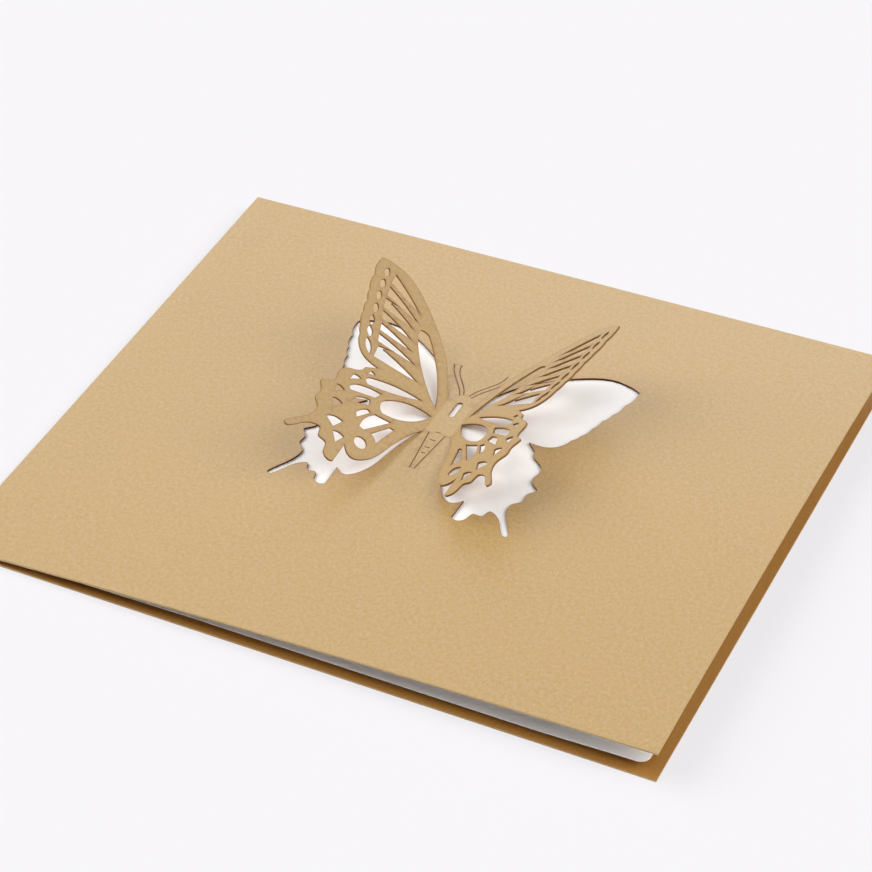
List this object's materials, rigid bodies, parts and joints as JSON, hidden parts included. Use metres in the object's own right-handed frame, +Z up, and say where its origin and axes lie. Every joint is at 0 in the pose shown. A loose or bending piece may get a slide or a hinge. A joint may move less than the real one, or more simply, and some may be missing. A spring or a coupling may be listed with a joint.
{
  "type": "pop-up greeting card",
  "caption": "Folded kraft card lying slightly open over a white paper insert, with a pierced butterfly cut from its front panel and bent up above wing-shaped windows.",
  "frame": {"origin": "middle of the card's footprint, on the surface that the back panel lies on", "axes": "+X from the fold to the open edge, +Y along the fold towards the butterfly's head, +Z up out of the front panel"},
  "size_m": [0.15, 0.13, 0.0229],
  "materials": {
    "kraft_card": "matte brown kraft board with fine fibre flecks and scorched cut edges",
    "white_paper": "matte white uncoated paper"
  },
  "bodies": {
    "root": {"cover": "kraft_card", "insert": "white_paper"}
  },
  "joints": []
}
